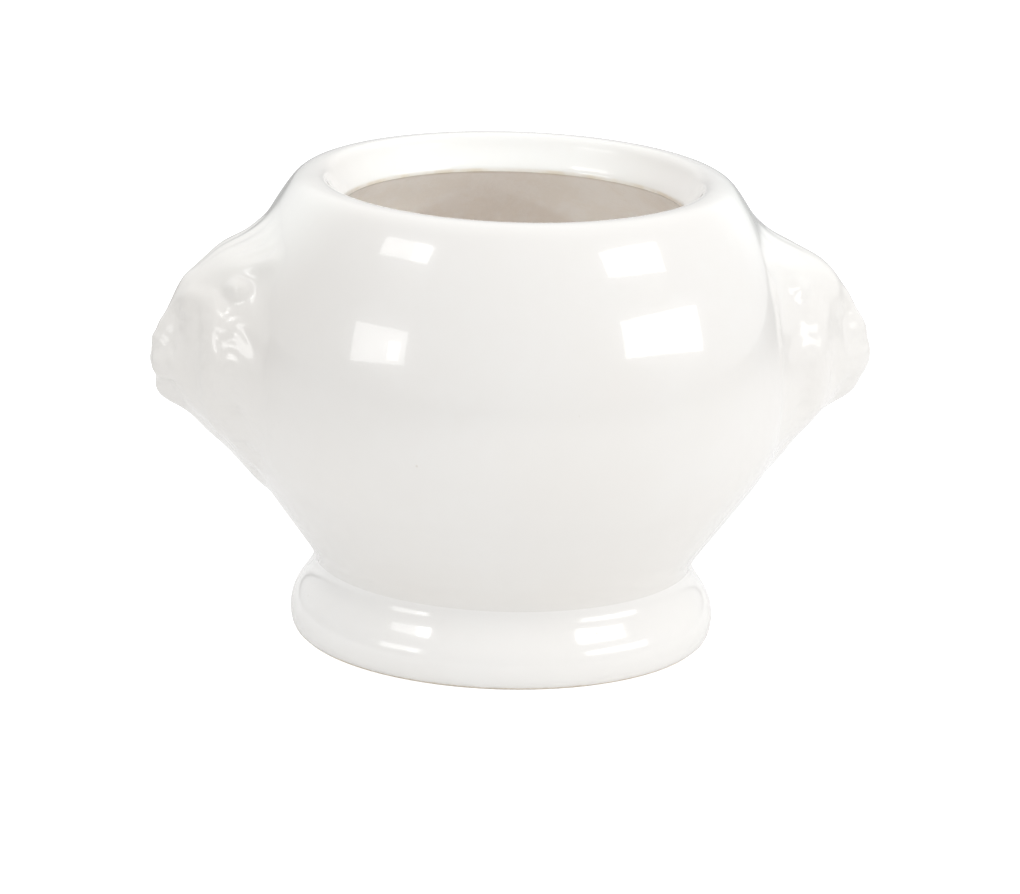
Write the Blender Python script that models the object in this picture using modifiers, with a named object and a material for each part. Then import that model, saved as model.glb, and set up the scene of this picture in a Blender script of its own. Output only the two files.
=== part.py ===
"""A white porcelain shaving bowl with a lion-head lug on each side.

The bowl is five pieces of clay, luted together before firing: a hollow body, a mouth collar
that laps inside the top of its wall, a pedestal foot that fits round a spigot under its floor,
and two press-moulded lion heads that sit against its outside. +Z is up, the lion heads look
along +X and -X, and the origin is at the centre of the foot's resting face.
"""

import math

import bmesh
import bpy
from mathutils import Matrix, Vector

MM = 0.001

# Driving dimensions, in metres.
HEIGHT = 90 * MM
BELLY_RADIUS = 54.8 * MM
BELLY_HEIGHT = 52.5 * MM
WAIST_RADIUS = 36.8 * MM
WAIST_HEIGHT = 14.5 * MM
FOOT_RADIUS = 41.1 * MM
FOOT_WIDEST_HEIGHT = 4.0 * MM
LIP_RADIUS = 43.5 * MM
LIP_HEIGHT = HEIGHT - 3.0 * MM
LIP_CREST_RADIUS = 38.2 * MM
THROAT_RADIUS = 32.7 * MM
THROAT_HEIGHT = HEIGHT - 6.6 * MM
THROAT_EDGE = 0.7 * MM
WALL = 4.6 * MM
FLOOR_TOP = WAIST_HEIGHT + 5.0 * MM

# How the pieces meet.
JOINT_GAP = 0.3 * MM
COLLAR_SEAM_HEIGHT = 81.5 * MM
COLLAR_LAP = 2.4 * MM
COLLAR_SKIRT = 2.6 * MM
SPIGOT_RADIUS = 31.2 * MM
SPIGOT_WIDTH = 3.4 * MM
SPIGOT_DEPTH = 1.5 * MM

# How finely the solids are faceted.
TURN_STEPS = 60
CURVE_STEPS = 4
COLLAR_STEPS = 3
FOOT_STEPS = 6
HEAD_VOXEL = 1.1 * MM
HEAD_FACES_KEPT = 0.17
HEAD_SMOOTHING = 4
PLUG_RISE = 4 * MM

# Each material is a colour and a roughness.
BODY_GLAZE = ((0.90, 0.885, 0.86), 0.12)
COLLAR_GLAZE = ((0.91, 0.90, 0.88), 0.10)
FOOT_GLAZE = ((0.89, 0.87, 0.84), 0.14)
HEAD_GLAZE = ((0.90, 0.885, 0.86), 0.16)


def clear_scene():
    for obj in list(bpy.data.objects):
        bpy.data.objects.remove(obj, do_unlink=True)


def new_collection(name):
    collection = bpy.data.collections.new(name)
    bpy.context.scene.collection.children.link(collection)
    return collection


def ceramic(name, look):
    colour, roughness = look
    material = bpy.data.materials.new(name)
    material.use_nodes = True
    shader = material.node_tree.nodes["Principled BSDF"]
    shader.inputs["Base Color"].default_value = (*colour, 1)
    shader.inputs["Roughness"].default_value = roughness
    shader.inputs["Metallic"].default_value = 0
    return material


# ---------------------------------------------------------------- turned profiles


def bezier(start, start_handle, end_handle, end, steps=CURVE_STEPS):
    """Points along one cubic curve, from start up to but without its end."""
    points = []
    for i in range(steps):
        t = i / steps
        s = 1 - t
        weights = (s**3, 3 * s * s * t, 3 * s * t * t, t**3)
        corners = (start, start_handle, end_handle, end)
        points.append(tuple(sum(w * c[k] for w, c in zip(weights, corners)) for k in (0, 1)))
    return points


def belly_curves(offset=0.0):
    """The outside of the bowl from the collar's lip down to the waist, as cubic curves.

    offset moves every radius outwards, for the clearance behind the lion heads.
    """
    lip = (LIP_RADIUS, LIP_HEIGHT)
    cone_top = (49.2 * MM, 33.1 * MM)
    cone_foot = (39.5 * MM, 19.4 * MM)
    belly = (BELLY_RADIUS, BELLY_HEIGHT)
    waist = (WAIST_RADIUS, WAIST_HEIGHT)
    curves = [
        (lip, (lip[0] + 5.0 * MM, lip[1] - 7 * MM), (belly[0], belly[1] + 14 * MM), belly),
        (belly, (belly[0], belly[1] - 8.5 * MM), (cone_top[0] + 3.3 * MM, cone_top[1] + 5 * MM), cone_top),
        (cone_top, (45.9 * MM, 28.1 * MM), (42.4 * MM, 23.5 * MM), cone_foot),
        (cone_foot, (38.2 * MM, 17.6 * MM), (waist[0] + 0.3 * MM, waist[1] + 1.6 * MM), waist),
    ]
    return [[(r + offset, z) for r, z in curve] for curve in curves]


def belly_profile(low, high, offset=0.0, steps=CURVE_STEPS):
    """Points down the outside of the bowl between two heights, with a point at each of them."""
    curves = belly_curves(offset)
    points = [point for curve in curves for point in bezier(*curve, steps=steps)] + [tuple(curves[-1][3])]
    inside = [(r, z) for r, z in points if low < z < high]
    return [(radius_at(points, high), high), *inside, (radius_at(points, low), low)]


def radius_at(points, height):
    """The radius at a height, along points that run downwards."""
    for (r_above, z_above), (r_below, z_below) in zip(points, points[1:]):
        if z_above >= height >= z_below:
            share = (z_above - height) / max(z_above - z_below, 1e-9)
            return r_above + share * (r_below - r_above)
    return points[-1][0] if height < points[-1][1] else points[0][0]


def turned(name, profile, collection, material, closed_ring):
    """A solid turned about Z. A ring's profile is a loop, and any other starts and ends on the axis."""
    count = len(profile)
    edges = [(i, i + 1) for i in range(count - 1)]
    if closed_ring:
        edges.append((count - 1, 0))
    mesh = bpy.data.meshes.new(name)
    mesh.from_pydata([(r, 0, z) for r, z in profile], edges, [])
    if material:
        mesh.materials.append(material)
    obj = bpy.data.objects.new(name, mesh)
    collection.objects.link(obj)
    screw = obj.modifiers.new("turn", "SCREW")
    screw.angle = 2 * math.pi
    screw.steps = screw.render_steps = TURN_STEPS
    screw.use_merge_vertices = True
    screw.merge_threshold = 0.00001
    screw.use_smooth_shade = True
    return obj


# ---------------------------------------------------------------- the three turned pieces


def make_bowl_body(collection, material):
    """The hollow belly: floor, wall, a rebated top edge and a locating spigot below."""
    outside = belly_profile(WAIST_HEIGHT + JOINT_GAP / 2, COLLAR_SEAM_HEIGHT - JOINT_GAP / 2)
    seam_radius = outside[0][0]
    rebate = (seam_radius - COLLAR_LAP, COLLAR_SEAM_HEIGHT - COLLAR_SKIRT - JOINT_GAP)
    inner_belly = (BELLY_RADIUS - WALL, BELLY_HEIGHT + 1 * MM)
    inner_shoulder = (rebate[0] - 2.6 * MM, rebate[1])
    floor_edge = (27 * MM, FLOOR_TOP + 0.6 * MM)
    wall_foot = (38 * MM, FLOOR_TOP + 6.2 * MM)
    corner = (floor_edge, (32 * MM, floor_edge[1] + 0.6 * MM), (35.5 * MM, wall_foot[1] - 3 * MM), wall_foot)
    lower_wall = (wall_foot, (44.5 * MM, wall_foot[1] + 8.5 * MM),
                  (inner_belly[0], inner_belly[1] - 12 * MM), inner_belly)
    upper_wall = (inner_belly, (inner_belly[0], inner_belly[1] + 11 * MM),
                  (47.4 * MM, 69 * MM), inner_shoulder)
    inside = [
        (0, FLOOR_TOP),
        (14 * MM, FLOOR_TOP + 0.1 * MM),
        *bezier(*corner),
        *bezier(*lower_wall),
        *bezier(*upper_wall),
        inner_shoulder,
    ]
    spigot_foot = outside[-1][1] - SPIGOT_DEPTH
    underside = [
        (SPIGOT_RADIUS, outside[-1][1]),
        (SPIGOT_RADIUS, spigot_foot),
        (SPIGOT_RADIUS - SPIGOT_WIDTH, spigot_foot),
        (SPIGOT_RADIUS - SPIGOT_WIDTH - 2 * MM, spigot_foot + 1.7 * MM),
        (0, spigot_foot + 2.3 * MM),
    ]
    top_edge = [rebate, (rebate[0], outside[0][1])]
    return turned("bowl_body", [*inside, *top_edge, *outside, *underside], collection, material, False)


def make_mouth_collar(collection, material):
    """The thick lip: rounded crest, sloping funnel, sharp throat edge and a skirt inside the wall."""
    seam = COLLAR_SEAM_HEIGHT + JOINT_GAP / 2
    shoulder = belly_profile(seam, LIP_HEIGHT)
    lip = shoulder[0]
    crest = (LIP_CREST_RADIUS, HEIGHT)
    funnel_top = (35.8 * MM, HEIGHT - 1.6 * MM)
    throat = (THROAT_RADIUS, THROAT_HEIGHT)
    throat_foot = (THROAT_RADIUS + 0.5 * MM, THROAT_HEIGHT - THROAT_EDGE)
    skirt_outside = shoulder[-1][0] - COLLAR_LAP - JOINT_GAP
    skirt_foot = COLLAR_SEAM_HEIGHT - COLLAR_SKIRT
    skirt_inside = skirt_outside - 2.2 * MM
    skirt_corner = (skirt_inside - 0.6 * MM, skirt_foot + 0.3 * MM)
    funnel = (throat, (33.4 * MM, THROAT_HEIGHT + 1.8 * MM), (34.7 * MM, HEIGHT - 3.4 * MM), funnel_top)
    inner_crest = (funnel_top, (36.3 * MM, HEIGHT - 0.6 * MM), (37.0 * MM, HEIGHT), crest)
    outer_crest = (crest, (41.2 * MM, HEIGHT), (lip[0] - 1.3 * MM, HEIGHT - 1.2 * MM), lip)
    underside = (skirt_corner, (36.5 * MM, 80.4 * MM), (34.2 * MM, 81.8 * MM), throat_foot)
    profile = [
        *bezier(*funnel, steps=COLLAR_STEPS),
        *bezier(*inner_crest, steps=COLLAR_STEPS),
        *bezier(*outer_crest, steps=COLLAR_STEPS),
        *shoulder,
        (skirt_outside, seam),
        (skirt_outside, skirt_foot),
        (skirt_inside, skirt_foot),
        *bezier(*underside, steps=COLLAR_STEPS),
        throat_foot,
    ]
    return turned("mouth_collar", profile, collection, material, True)


def make_pedestal_foot(collection, material):
    """The bell-shaped foot ring, with a flat seat above and a flat resting face below."""
    seat = WAIST_HEIGHT - JOINT_GAP / 2
    neck = (WAIST_RADIUS, seat)
    widest = (FOOT_RADIUS, FOOT_WIDEST_HEIGHT)
    rest_outer = (39.2 * MM, 0)
    bore = SPIGOT_RADIUS + JOINT_GAP
    flare = (neck, (37.0 * MM, seat - 4.2 * MM), (FOOT_RADIUS - 0.1 * MM, widest[1] + 5.0 * MM), widest)
    toe = (widest, (FOOT_RADIUS, 1.7 * MM), (40.6 * MM, 0), rest_outer)
    profile = [
        *bezier(*flare, steps=FOOT_STEPS),
        *bezier(*toe),
        rest_outer,
        (34.4 * MM, 0),
        (33.6 * MM, 0.7 * MM),
        (bore + 1.0 * MM, 7.5 * MM),
        (bore, seat - 2.6 * MM),
        (bore, seat),
    ]
    return turned("pedestal_foot", profile, collection, material, True)


# ---------------------------------------------------------------- the lion heads

# Each lump is an ellipsoid: centre (out from the bowl's axis, sideways, up), radii in the same order,
# and a tilt in degrees that leans its top outwards. A lump off the centre plane has a twin on the other side.
HEAD_LUMPS = {
    "mane_root": ((45.0, 0, 56.5), (12.5, 21.0, 23.5), 0),
    "mane_crown": ((53.3, 0, 73.2), (14.0, 8.5, 4.2), 34),
    "mane_cheek": ((50.5, 9.5, 53.0), (9.0, 9.5, 14.0), 0),
    "beard": ((54.5, 0, 41.6), (12.0, 8.5, 4.6), -45),
    "skull": ((54.5, 0, 64.5), (9.4, 9.6, 7.6), 25),
    "brow": ((61.2, 4.0, 67.2), (3.4, 4.2, 2.5), 25),
    "eye": ((61.8, 4.6, 63.6), (2.0, 2.1, 1.5), 0),
    "cheek": ((58.0, 7.0, 57.0), (6.0, 4.6, 6.0), 0),
    "nose_bridge": ((62.9, 0, 62.0), (3.2, 3.0, 8.0), -25),
    "nose_tip": ((67.6, 0, 57.4), (2.7, 3.6, 2.3), 0),
    "muzzle": ((61.5, 0, 53.6), (8.2, 6.6, 4.8), 0),
    "lip": ((65.4, 3.0, 52.8), (4.4, 3.3, 3.2), 0),
    "chin": ((61.6, 0, 47.6), (4.9, 4.4, 2.9), -30),
    "ear": ((56.0, 10.0, 70.5), (3.4, 2.8, 3.2), 34),
}

# Rows of mane locks: how many on a side, how far out along the mane each starts and ends,
# and its radius in millimetres.
MANE_ROWS = (
    (6, 0.02, 0.60, 2.2),
    (7, 0.44, 1.02, 2.7),
)
FACE_RING = (58.5, 11.0, 58.5, 12.5)
MANE_EDGE = (21.0, 56.5, 25.0)
MANE_DROOP = 0.14
MANE_BULGE = 2.6
LOCK_POINTS = 7


def add_lump(centre, radii, tilt):
    bpy.ops.mesh.primitive_uv_sphere_add(segments=20, ring_count=12, radius=1)
    lump = bpy.context.object
    turn = Matrix.Rotation(math.radians(tilt), 4, "Y")
    size = Matrix.Diagonal((*(r * MM for r in radii), 1))
    lump.matrix_world = Matrix.Translation(Vector(centre) * MM) @ turn @ size
    return lump


def mane_point(angle, share):
    """A point on the mane: angle 0 is up and 180 down, share 0 at the face and 1 at the bowl."""
    out, half_width, middle, half_height = FACE_RING
    edge_half_width, edge_middle, edge_half_height = MANE_EDGE
    side, up = math.sin(angle), math.cos(angle)
    width = edge_half_width * (1 - MANE_DROOP * up)
    y = side * (half_width + share * (width - half_width))
    height = half_height + share * (edge_half_height - half_height)
    z = middle + share * (edge_middle - middle) + up * height
    wall = radius_at([p for c in belly_curves() for p in bezier(*c)], z * MM) / MM
    at_edge = math.sqrt(max(wall * wall - y * y, 0))
    bulge = MANE_BULGE * abs(side) * math.sin(math.pi * share)
    return Vector((out + share * (at_edge - out) + bulge, y, z)) * MM


def add_lock(angle, start, end, radius):
    """One tapered, slightly curling strand of the mane."""
    curve = bpy.data.curves.new("lock", "CURVE")
    curve.dimensions = "3D"
    curve.bevel_depth = 1
    curve.bevel_resolution = 2
    curve.use_fill_caps = True
    spline = curve.splines.new("POLY")
    spline.points.add(LOCK_POINTS - 1)
    for i, point in enumerate(spline.points):
        t = i / (LOCK_POINTS - 1)
        curl = 0.10 * math.sin(2 * math.pi * t)
        place = mane_point(angle + curl, start + t * (end - start))
        point.co = (*place, 1)
        point.radius = radius * MM * (0.45 + 0.75 * math.sin(math.pi * (0.15 + 0.75 * t)))
    lock = bpy.data.objects.new("lock", curve)
    bpy.context.scene.collection.objects.link(lock)
    return as_mesh(lock)


def as_mesh(curve_object):
    """The curve object as a mesh object with its caps welded."""
    graph = bpy.context.evaluated_depsgraph_get()
    mesh = bpy.data.meshes.new_from_object(curve_object.evaluated_get(graph))
    bm = bmesh.new()
    bm.from_mesh(mesh)
    bmesh.ops.remove_doubles(bm, verts=bm.verts, dist=0.01 * MM)
    bm.to_mesh(mesh)
    bm.free()
    solid = bpy.data.objects.new(curve_object.name, mesh)
    solid.matrix_world = curve_object.matrix_world
    bpy.context.scene.collection.objects.link(solid)
    bpy.data.objects.remove(curve_object)
    return solid


def head_lumps():
    lumps = []
    for centre, radii, tilt in HEAD_LUMPS.values():
        sides = (1, -1) if centre[1] else (1,)
        lumps += [add_lump((centre[0], side * centre[1], centre[2]), radii, tilt) for side in sides]
    return lumps


def mane_locks():
    locks = []
    for row, (count, start, end, radius) in enumerate(MANE_ROWS):
        for i in range(count):
            angle = math.pi * (i + 0.5 + 0.5 * (row % 2)) / (count + 0.5)
            locks += [add_lock(side * angle, start, end, radius) for side in (1, -1)]
    return locks


def joined(objects, name):
    bpy.ops.object.select_all(action="DESELECT")
    for obj in objects:
        obj.select_set(True)
    bpy.context.view_layer.objects.active = objects[0]
    bpy.ops.object.join()
    whole = bpy.context.object
    bpy.ops.object.transform_apply(location=True, rotation=True, scale=True)
    whole.name = whole.data.name = name
    return whole


def make_wall_cutter(collection):
    """The bowl's outside as a solid plug, a joint's gap larger, to shape the back of each head."""
    wall = belly_profile(WAIST_HEIGHT, LIP_HEIGHT, offset=JOINT_GAP)
    top = wall[0][1] + PLUG_RISE
    plug = [(0, top), (wall[0][0] - PLUG_RISE, top), *wall, (0, wall[-1][1])]
    cutter = turned("wall_cutter", plug, collection, None, False)
    cutter.hide_render = True
    cutter.display_type = "WIRE"
    return cutter


def lion_head_mesh(cutter, material):
    """One head looking along +X, its lumps and locks run together and its back cut to the bowl."""
    head = joined(head_lumps() + mane_locks(), "lion_head")
    remesh = head.modifiers.new("run_together", "REMESH")
    remesh.mode = "VOXEL"
    remesh.voxel_size = HEAD_VOXEL
    soften = head.modifiers.new("soften", "SMOOTH")
    soften.iterations = HEAD_SMOOTHING
    thin = head.modifiers.new("thin", "DECIMATE")
    thin.ratio = HEAD_FACES_KEPT
    cut = head.modifiers.new("fit_to_bowl", "BOOLEAN")
    cut.object = cutter
    graph = bpy.context.evaluated_depsgraph_get()
    mesh = bpy.data.meshes.new_from_object(head.evaluated_get(graph))
    mesh.name = "lion_head"
    mesh.materials.clear()
    mesh.materials.append(material)
    mesh.shade_smooth()
    mesh.set_sharp_from_angle(angle=math.radians(50))
    bpy.data.objects.remove(head)
    return mesh


def make_lion_heads(collection, cutter, material):
    mesh = lion_head_mesh(cutter, material)
    for name, turn in (("lion_head_right", 0), ("lion_head_left", math.pi)):
        head = bpy.data.objects.new(name, mesh)
        head.rotation_euler.z = turn
        collection.objects.link(head)


def main():
    clear_scene()
    bowl = new_collection("shaving_bowl")
    cutters = new_collection("cutters")
    make_bowl_body(bowl, ceramic("body_glaze", BODY_GLAZE))
    make_mouth_collar(bowl, ceramic("collar_glaze", COLLAR_GLAZE))
    make_pedestal_foot(bowl, ceramic("foot_glaze", FOOT_GLAZE))
    make_lion_heads(bowl, make_wall_cutter(cutters), ceramic("head_glaze", HEAD_GLAZE))


main()
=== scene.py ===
"""The looks of the lion-head shaving bowl: glazed white porcelain on a white studio floor.

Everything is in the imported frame. The turned pieces repeat the CAD's outline with finer steps and no
joint gaps, because a fired bowl has none. The lion heads are built up on a grid of distances, as a
modeller builds up clay: lumps and strands run softly together, and grooves are cut into them.
"""

import math

import bpy
import numpy as np
import openvdb
from mathutils import Euler, Matrix, Vector


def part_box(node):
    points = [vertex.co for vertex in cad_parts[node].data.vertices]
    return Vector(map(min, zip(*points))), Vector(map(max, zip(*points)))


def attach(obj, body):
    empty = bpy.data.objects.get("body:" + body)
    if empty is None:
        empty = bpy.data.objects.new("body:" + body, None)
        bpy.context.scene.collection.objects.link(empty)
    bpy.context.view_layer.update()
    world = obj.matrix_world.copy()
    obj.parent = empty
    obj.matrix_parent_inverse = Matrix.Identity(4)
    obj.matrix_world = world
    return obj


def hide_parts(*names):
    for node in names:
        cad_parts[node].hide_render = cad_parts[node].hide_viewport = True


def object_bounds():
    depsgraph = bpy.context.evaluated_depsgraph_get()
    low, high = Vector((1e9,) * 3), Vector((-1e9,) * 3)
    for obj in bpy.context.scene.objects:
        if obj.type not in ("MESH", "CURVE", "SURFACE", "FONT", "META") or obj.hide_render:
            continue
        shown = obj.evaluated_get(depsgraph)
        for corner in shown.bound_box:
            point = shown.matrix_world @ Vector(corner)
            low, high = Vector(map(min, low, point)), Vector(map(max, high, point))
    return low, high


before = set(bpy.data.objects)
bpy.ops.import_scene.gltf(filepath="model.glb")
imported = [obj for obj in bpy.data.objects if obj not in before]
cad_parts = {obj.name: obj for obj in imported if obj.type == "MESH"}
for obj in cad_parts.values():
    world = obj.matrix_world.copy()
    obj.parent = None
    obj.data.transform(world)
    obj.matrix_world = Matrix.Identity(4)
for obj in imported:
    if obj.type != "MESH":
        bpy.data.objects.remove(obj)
cad_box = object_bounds()

MM = 0.001

# ---------------------------------------------------------------- driving dimensions, in millimetres

HEIGHT = cad_box[1][2] / MM
BELLY_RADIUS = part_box("bowl_body")[1].y / MM
BELLY_HEIGHT = 52.5
WAIST = (36.8, 14.5)
FOOT_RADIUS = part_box("pedestal_foot")[1].y / MM
FOOT_WIDEST_HEIGHT = 4.0
COLLAR_SEAM_HEIGHT = 81.5
LIP = (43.5, HEIGHT - 3.0)
CREST_RADIUS = 38.2
THROAT = (32.7, HEIGHT - 6.6)
INNER_SEAM = (38.0, 78.6)
WALL = 4.6
FLOOR_TOP = 19.5

TURN_STEPS = 256
PROFILE_STEP = 0.7
SHARP_ANGLE = math.radians(50)


# ---------------------------------------------------------------- turned profiles


def bezier(start, start_handle, end_handle, end, count=200):
    t = np.linspace(0, 1, count)[:, None]
    s = 1 - t
    corners = [np.array(corner, float) for corner in (start, start_handle, end_handle, end)]
    return s**3 * corners[0] + 3 * s * s * t * corners[1] + 3 * s * t * t * corners[2] + t**3 * corners[3]


def run(*stretches):
    """One outline from stretches that follow on, resampled evenly, keeping each stretch's ends."""
    pieces = []
    for stretch in stretches:
        stretch = np.array(stretch, float)
        length = np.concatenate([[0], np.cumsum(np.hypot(*np.diff(stretch, axis=0).T))])
        steps = max(1, int(round(length[-1] / PROFILE_STEP)))
        at = np.linspace(0, length[-1], steps + 1)
        even = np.stack([np.interp(at, length, stretch[:, k]) for k in (0, 1)], axis=1)
        pieces.append(even if not pieces else even[1:])
    return np.concatenate(pieces)


def belly():
    """The outside of the bowl, from the lip down to the waist: the same curves as the CAD's."""
    widest = (BELLY_RADIUS, BELLY_HEIGHT)
    cone_top = (49.2, 33.1)
    cone_foot = (39.5, 19.4)
    return np.concatenate([
        bezier(LIP, (LIP[0] + 5.0, LIP[1] - 7), (widest[0], widest[1] + 14), widest),
        bezier(widest, (widest[0], widest[1] - 8.5), (cone_top[0] + 3.3, cone_top[1] + 5), cone_top)[1:],
        bezier(cone_top, (45.9, 28.1), (42.4, 23.5), cone_foot)[1:],
        bezier(cone_foot, (38.2, 17.6), (WAIST[0] + 0.3, WAIST[1] + 1.6), WAIST)[1:],
    ])


def crest():
    """The top of the mouth, from its highest ring out to the lip."""
    return bezier((CREST_RADIUS, HEIGHT), (41.2, HEIGHT), (LIP[0] - 1.3, HEIGHT - 1.2), LIP)


def belly_radius(height):
    line = belly()[::-1]
    return np.interp(height, line[:, 1], line[:, 0])


def belly_between(high, low):
    line = belly()
    inside = line[(line[:, 1] < high) & (line[:, 1] > low)]
    return [(belly_radius(high), high), *inside, (belly_radius(low), low)]


def body_profile():
    """Floor, inner wall, the sloping face under the collar, the outside, and the underside."""
    seam = (belly_radius(COLLAR_SEAM_HEIGHT), COLLAR_SEAM_HEIGHT)
    floor_edge = (27, FLOOR_TOP + 0.6)
    wall_foot = (38, FLOOR_TOP + 6.2)
    inner_belly = (BELLY_RADIUS - WALL, BELLY_HEIGHT + 1)
    return run(
        [(0, FLOOR_TOP), (14, FLOOR_TOP + 0.1), floor_edge],
        bezier(floor_edge, (32, floor_edge[1] + 0.6), (35.5, wall_foot[1] - 3), wall_foot),
        bezier(wall_foot, (44.5, wall_foot[1] + 8.5), (inner_belly[0], inner_belly[1] - 12), inner_belly),
        bezier(inner_belly, (inner_belly[0], inner_belly[1] + 10), (44.5, 72.5), INNER_SEAM),
        [INNER_SEAM, seam],
        belly_between(COLLAR_SEAM_HEIGHT, WAIST[1]),
        [WAIST, (31.0, WAIST[1])],
        bezier((31.0, WAIST[1]), (28.5, WAIST[1]), (24.0, WAIST[1] + 0.8), (16, WAIST[1] + 0.9)),
        [(16, WAIST[1] + 0.9), (0, WAIST[1] + 0.9)],
    )


def collar_profile():
    seam = (belly_radius(COLLAR_SEAM_HEIGHT), COLLAR_SEAM_HEIGHT)
    funnel_top = (35.8, HEIGHT - 1.6)
    edge_top = (THROAT[0] + 0.15, THROAT[1] + 0.45)
    edge_foot = (THROAT[0] + 0.75, THROAT[1] - 0.45)
    return run(
        bezier(edge_foot, (THROAT[0] + 0.1, THROAT[1] - 0.1), (THROAT[0] - 0.1, THROAT[1]), edge_top),
        bezier(edge_top, (33.4, THROAT[1] + 1.8), (34.7, HEIGHT - 3.4), funnel_top),
        bezier(funnel_top, (36.3, HEIGHT - 0.6), (37.0, HEIGHT), (CREST_RADIUS, HEIGHT)),
        crest(),
        belly_between(LIP[1], COLLAR_SEAM_HEIGHT),
        [seam, INNER_SEAM],
        bezier(INNER_SEAM, (36.4, 80.1), (34.6, 81.8), edge_foot),
    )[:-1]


def foot_profile():
    widest = (FOOT_RADIUS, FOOT_WIDEST_HEIGHT)
    rest_outer = (39.2, 0)
    rest_inner = (34.6, 0)
    bore = (31.0, WAIST[1])
    return run(
        bezier(WAIST, (37.0, WAIST[1] - 4.2), (FOOT_RADIUS - 0.1, widest[1] + 5.0), widest),
        bezier(widest, (FOOT_RADIUS, 1.7), (40.6, 0), rest_outer),
        [rest_outer, rest_inner],
        bezier(rest_inner, (34.0, 0), (33.7, 0.4), (33.5, 1.2)),
        bezier((33.5, 1.2), (32.9, 5.5), (32.2, 9.5), (31.6, WAIST[1] - 2)),
        [(31.6, WAIST[1] - 2), bore],
        [bore, WAIST],
    )[:-1]


def turned(name, profile, closed_ring):
    """A piece turned about Z. A ring's profile is a loop, and any other starts and ends on the axis."""
    count = len(profile)
    edges = [(i, i + 1) for i in range(count - 1)]
    if closed_ring:
        edges.append((count - 1, 0))
    mesh = bpy.data.meshes.new(name + "_profile")
    mesh.from_pydata([(r * MM, 0, z * MM) for r, z in profile], edges, [])
    guide = bpy.data.objects.new(name + "_profile", mesh)
    bpy.context.scene.collection.objects.link(guide)
    screw = guide.modifiers.new("turn", "SCREW")
    screw.angle = 2 * math.pi
    screw.steps = screw.render_steps = TURN_STEPS
    screw.use_merge_vertices = True
    screw.merge_threshold = 0.00001
    graph = bpy.context.evaluated_depsgraph_get()
    turned_mesh = bpy.data.meshes.new_from_object(guide.evaluated_get(graph))
    bpy.data.objects.remove(guide)
    return piece(name, turned_mesh)


def piece(name, mesh):
    mesh.name = name
    mesh.shade_smooth()
    mesh.set_sharp_from_angle(angle=SHARP_ANGLE)
    obj = bpy.data.objects.new(name, mesh)
    bpy.context.scene.collection.objects.link(obj)
    return obj


# ---------------------------------------------------------------- the lion heads


class Clay:
    """A block of space holding, at each point of a grid, the distance to the clay's surface."""

    def __init__(self, low, high, cell):
        self.low = np.array(low, float)
        self.cell = cell
        counts = np.ceil((np.array(high) - self.low) / cell).astype(int) + 1
        self.axes = [self.low[k] + cell * np.arange(counts[k]) for k in range(3)]
        self.distance = np.full(counts, EMPTY, np.float32)

    def window(self, low, high):
        """The part of the grid inside a box: its slices, and its points' x, y and z."""
        cut = []
        for k in range(3):
            first = np.searchsorted(self.axes[k], low[k])
            cut.append(slice(first, max(first, np.searchsorted(self.axes[k], high[k]))))
        points = np.meshgrid(*(self.axes[k][cut[k]] for k in range(3)), indexing="ij", sparse=True)
        return tuple(cut), [p.astype(np.float32) for p in points]

    def add(self, shape, soft):
        """Runs a shape into the clay, filling the crease between them to about the width soft."""
        low, high = shape.box(FAR + self.cell)
        cut, points = self.window(low, high)
        here = self.distance[cut]
        there = shape.distance(points)
        blend = np.maximum(soft - np.abs(here - there), 0)
        self.distance[cut] = np.minimum(here, there) - blend * blend / (4 * soft)

    def carve(self, shape, soft):
        """Cuts a shape out of the clay, rounding the edges to about the width soft."""
        low, high = shape.box(2 * soft + 2 * self.cell)
        cut, points = self.window(low, high)
        here = self.distance[cut]
        there = -shape.distance(points)
        blend = np.maximum(soft - np.abs(here - there), 0)
        self.distance[cut] = np.maximum(here, there) + blend * blend / (4 * soft)

    def worn(self, passes, detail):
        """The distances with their fine detail worn down to a share, by blurring a few times over."""
        near = np.minimum(self.distance, FAR)
        blurred = near.copy()
        for _ in range(passes):
            for axis in range(3):
                line = np.moveaxis(blurred, axis, 0)
                line[1:-1] = 0.5 * line[1:-1] + 0.25 * (line[2:] + line[:-2])
        return blurred + detail * (near - blurred)

    def surface(self):
        grid = openvdb.FloatGrid(EMPTY)
        grid.copyFromArray(self.distance)
        points, quads = grid.convertToQuads(0.0)
        return points * self.cell + self.low, quads


class Lump:
    """An ellipsoid: its centre, its radii, and its turns about X, Y and Z in degrees."""

    def __init__(self, centre, radii, turn=(0, 0, 0)):
        self.centre = np.array(centre, float)
        self.radii = np.array(radii, float)
        self.turn = np.array(Euler([math.radians(a) for a in turn]).to_matrix())

    def mirrored(self):
        twin = Lump(self.centre * (1, -1, 1), self.radii)
        flip = np.diag([1, -1, 1])
        twin.turn = flip @ self.turn @ flip
        return twin

    def box(self, margin):
        reach = np.sqrt(((self.turn * self.radii) ** 2).sum(1)) + margin
        return self.centre - reach, self.centre + reach

    def distance(self, points):
        offset = [p - c for p, c in zip(points, self.centre)]
        local = [sum(offset[k] * self.turn[k, i] for k in range(3)) for i in range(3)]
        near = np.sqrt(sum((local[i] / self.radii[i]) ** 2 for i in range(3)))
        slope = np.sqrt(sum((local[i] / self.radii[i] ** 2) ** 2 for i in range(3)))
        return near * (near - 1) / np.maximum(slope, 1e-6)


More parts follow.
